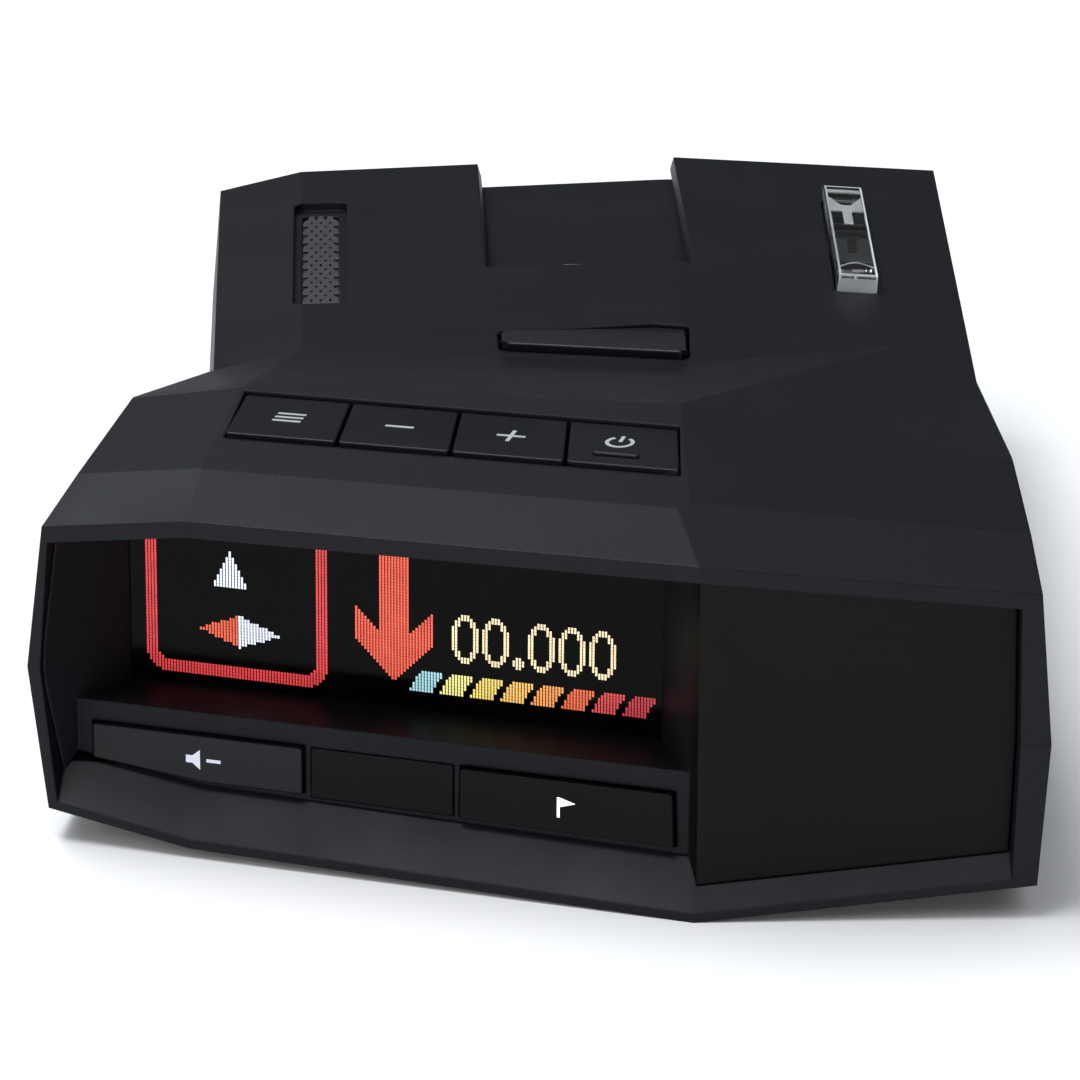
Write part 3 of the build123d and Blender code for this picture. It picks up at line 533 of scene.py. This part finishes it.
def add_lens_part(name, outlines, depth, thickness):
    """Frosted parts of the lens and painted highlights along its edges, given by outlines in its plan and a
    depth under its top.
    """
    points, faces = [], []
    for outline in outlines:
        corners = [lens_place @ Vector((x, y, -depth)) for x, y in outline]
        slab(points, faces, corners, lens_normal * -thickness)
    return add_mesh(name, points, faces, FROSTED_AND_PAINTED_HIGHLIGHT, "housing")


add_lens_part("lens_end", [
    bar_outline(-0.44 * LENS_WIDE, 0.44 * LENS_WIDE, -0.485 * LENS_LONG, -0.48 * LENS_LONG),
], 0.45 * MM, 1.35 * MM)
half_wide, half_long, strip = LENS_WIDE / 2 - 0.06 * MM, LENS_LONG / 2 - 0.06 * MM, 0.22 * MM
# Whitish strips along the clear lens's edges: painted highlights where the glass would refract bright
# surroundings.
add_lens_part("lens_rim_painted_highlight", [
    bar_outline(-half_wide, -half_wide + strip, -half_long, half_long),
    bar_outline(half_wide - strip, half_wide, -half_long, half_long),
    bar_outline(-half_wide + strip, half_wide - strip, half_long - strip, half_long),
    bar_outline(-half_wide + strip, half_wide - strip, -half_long, -half_long + strip * 1.6),
], 0.05 * MM, 0.12 * MM)
add_lens_part("lens_corners", [
    bar_outline(x, x + strip, -half_long, -half_long + strip)
    for x in (-half_wide, -0.1 * LENS_WIDE, half_wide - strip)
], 0.18 * MM, 1.5 * MM)
reach = half_wide - strip
add_lens_part("lens_reflector", [
    [(-reach, 6.6 * MM), (reach, 6.6 * MM), (reach, 8.6 * MM), (-reach, 8.6 * MM)],
    [(-0.45 * MM, 2.4 * MM), (0.45 * MM, 2.4 * MM), (0.45 * MM, 6.6 * MM), (-0.45 * MM, 6.6 * MM)],
    [(-reach, 8.6 * MM), (-0.5 * MM, 8.6 * MM), (-reach, 11.4 * MM)],
    [(0.5 * MM, 8.6 * MM), (reach, 8.6 * MM), (reach, 11.4 * MM)],
    [(-reach, half_long - 1.8 * MM), (reach, half_long - 1.8 * MM), (reach, half_long - 0.9 * MM),
     (-reach, half_long - 0.9 * MM)],
], 0.5 * MM, 0.5 * MM)
CURVE_STEPS = 12
arc_far = [(-reach + 2 * reach * i / CURVE_STEPS,
            -half_long + (3.0 + 1.3 * sin(pi * i / CURVE_STEPS)) * MM) for i in range(CURVE_STEPS + 1)]
arc_near = [(x, y - 0.25 * MM) for x, y in reversed(arc_far)]
add_lens_part("lens_arc", [arc_far + arc_near], 0.3 * MM, 0.2 * MM)

for node_name in ("menu_key", "minus_key", "plus_key", "power_key", "mute_dim_button", "mark_button",
                  "sensor_window", "release_button"):
    round_edges(node_name, 0.22 * MM)
round_edges("laser_lens", 0.25 * MM)

# ---- floor, lights, camera ----------------------------------------------------------------------
bpy.ops.mesh.primitive_plane_add(size=8.0, location=(0, 0, cad_low.z))
floor = bpy.context.object
floor.name = "floor"
floor_material, floor_tree, floor_shader = new_material("pale_floor")
floor_tree.links.new(ramp(floor_tree, noise(floor_tree, 3.0, 2.0), (0.9, 0.9, 0.9), (0.93, 0.93, 0.93)),
                     floor_shader.inputs["Base Color"])
floor_shader.inputs["Roughness"].default_value = 0.9
floor_shader.inputs["Specular IOR Level"].default_value = 0.1
floor.data.materials.append(floor_material)
floor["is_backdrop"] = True


def aim(item, place, target, roll=0.0):
    """Puts an item at a place, looking at the target."""
    back_axis = (place - target).normalized()
    right = UP.cross(back_axis).normalized()
    upward = back_axis.cross(right)
    x_axis = right * cos(roll) + upward * sin(roll)
    y_axis = upward * cos(roll) - right * sin(roll)
    item.matrix_world = axes_matrix(x_axis, y_axis, place)


LIGHT_TARGET = Vector((0, 0, 0.02))


def add_light(name, place, size_x, size_y, power, color=(1, 1, 1)):
    """A rectangular soft light, aimed at the middle of the object."""
    lamp = bpy.data.lights.new(name, "AREA")
    lamp.shape = "RECTANGLE"
    lamp.size, lamp.size_y = size_x, size_y
    lamp.energy = power
    lamp.color = color
    light = bpy.data.objects.new(name, lamp)
    bpy.context.collection.objects.link(light)
    aim(light, Vector(place), LIGHT_TARGET)


add_light("overhead", (-0.3, -0.05, 1.1), 0.8, 0.4, 10.5, color=(0.97, 0.985, 1.0))
add_light("back_top", (-0.45, 0.85, 0.95), 0.6, 0.4, 2.6, color=(0.9, 0.95, 1.0))
add_light("front_left", (-1.0, -0.4, 0.5), 0.4, 0.4, 2.4, color=(0.98, 0.99, 1.0))
add_light("front_low", (-0.15, -1.0, 0.17), 0.7, 0.12, 2.6)

world = bpy.data.worlds.new("studio")
world.use_nodes = True
world_tree = world.node_tree
direction = world_tree.nodes.new("ShaderNodeTexCoord")
height = world_tree.nodes.new("ShaderNodeSeparateXYZ")
dome = world_tree.nodes.new("ShaderNodeValToRGB")
dome.color_ramp.elements[0].position = 0.4
dome.color_ramp.elements[0].color = (0.045, 0.047, 0.05, 1)
dome.color_ramp.elements[1].position = 0.75
dome.color_ramp.elements[1].color = (0.55, 0.57, 0.6, 1)
world_tree.links.new(direction.outputs["Generated"], height.inputs["Vector"])
world_tree.links.new(height.outputs["Z"], dome.inputs["Fac"])
world_tree.links.new(dome.outputs["Color"], world_tree.nodes["Background"].inputs["Color"])
bpy.context.scene.world = world
bpy.context.scene.view_settings.view_transform = "Standard"

CAMERA_PLACE, CAMERA_TARGET = Vector((-0.01684, -0.54524, 0.23793)), Vector((0.00321, 0.02884, 0))
CAMERA_ROLL = radians(0.4)
camera_data = bpy.data.cameras.new("camera")
camera_data.lens = 210.0
camera_data.sensor_width = 36.0
camera_data.clip_start = 0.05
camera_data.clip_end = 20.0
camera = bpy.data.objects.new("camera", camera_data)
bpy.context.collection.objects.link(camera)
aim(camera, CAMERA_PLACE, CAMERA_TARGET, CAMERA_ROLL)
bpy.context.scene.camera = camera

low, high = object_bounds()
